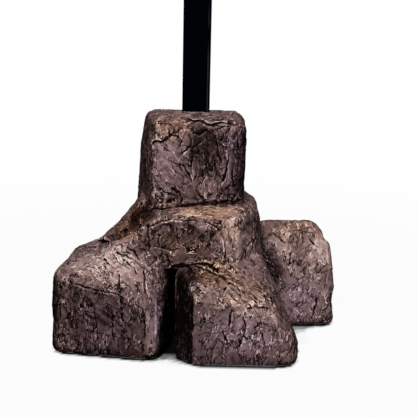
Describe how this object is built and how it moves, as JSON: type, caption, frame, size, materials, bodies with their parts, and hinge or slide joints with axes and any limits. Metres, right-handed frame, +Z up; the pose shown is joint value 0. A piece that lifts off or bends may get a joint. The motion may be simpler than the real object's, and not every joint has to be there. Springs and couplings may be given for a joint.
{
  "type": "cave ornament",
  "caption": "Hollow faux-rock cave casting on block feet with a tall neck, and a square black post that lifts out of a socket in the neck.",
  "frame": {"origin": "on the floor, under the middle of the rock casting's footprint", "axes": "+Z up along the post; -Y towards the viewer, the side with the narrow cave mouth; +X to the viewer's right"},
  "size_m": [0.263, 0.21, 0.34],
  "materials": {
    "rock_resin": "hand-painted matt polyresin with cracked, trowelled skin, washed dark in the creases and dry-brushed pale on the edges",
    "post_black": "gloss black powder coat",
    "socket_plastic": "satin moulded black",
    "plug_plastic": "satin moulded black",
    "screw_steel": "plain stainless",
    "pad_rubber": "matt black"
  },
  "bodies": {
    "rock": {"rock_shell": "rock_resin", "post_socket": "socket_plastic", "socket_screws": "screw_steel", "pad_left": "pad_rubber", "pad_front": "pad_rubber", "pad_right": "pad_rubber", "pad_rear": "pad_rubber"},
    "post": {"post_tube": "post_black", "post_top_plug": "plug_plastic", "post_bottom_plug": "plug_plastic"}
  },
  "joints": [
    {"name": "post_lift", "type": "slide", "parent": "rock", "child": "post", "axis": [0, 0, 1], "range_m": [0, 0.089]}
  ]
}
